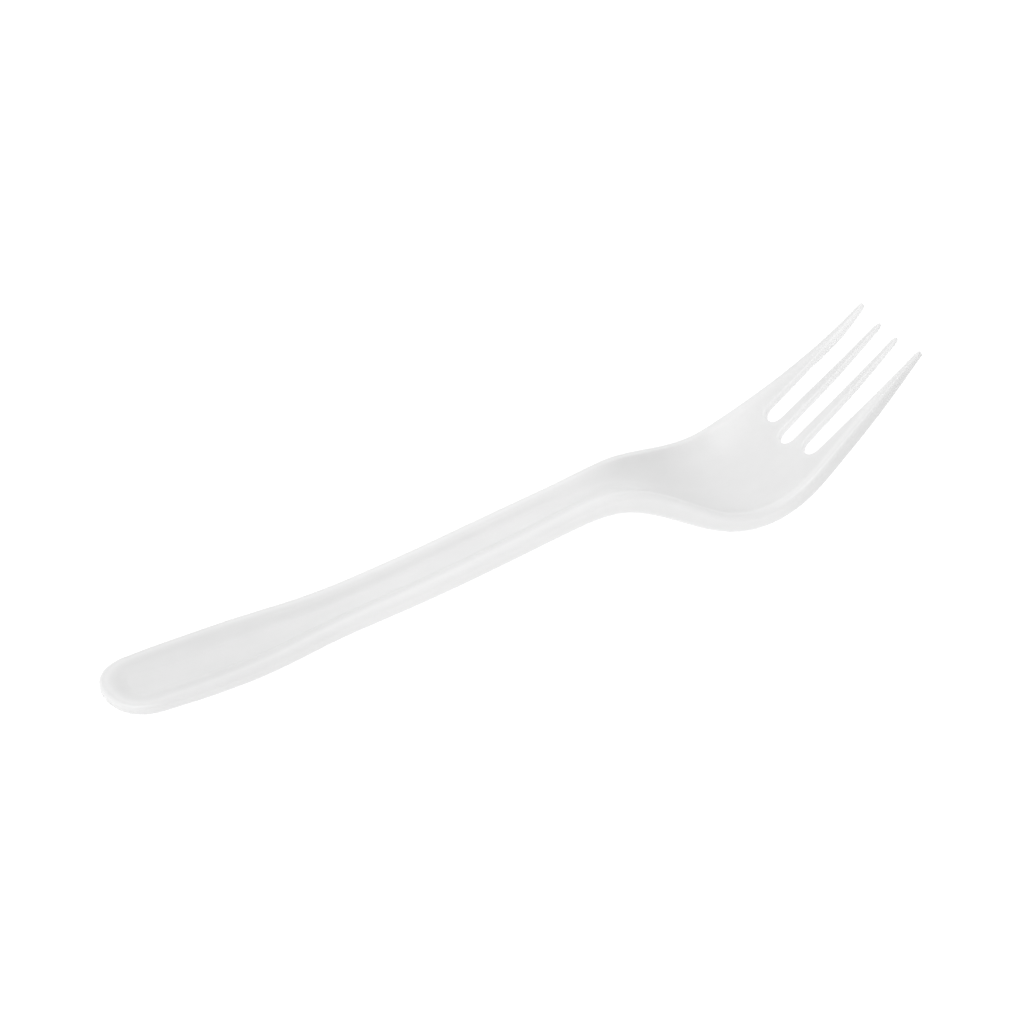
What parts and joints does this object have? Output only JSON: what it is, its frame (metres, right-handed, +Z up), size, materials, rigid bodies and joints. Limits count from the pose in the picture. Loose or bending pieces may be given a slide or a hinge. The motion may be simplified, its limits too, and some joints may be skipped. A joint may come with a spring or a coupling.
{
  "type": "disposable plastic fork",
  "caption": "Light white moulded table fork with a rimmed channel handle, a dished head and slim tapered tines, for picking up food and used once.",
  "frame": {"origin": "middle of the bounding box at table level, with the fork lying as it rests, hollow side up", "axes": "+X along the fork from the handle end to the tines, +Y across it, +Z up from the table"},
  "size_m": [0.16, 0.028, 0.0238],
  "materials": {
    "white_plastic": "satin to gloss white moulded plastic, slightly translucent at thin edges"
  },
  "bodies": {
    "root": {"fork": "white_plastic"}
  },
  "joints": []
}
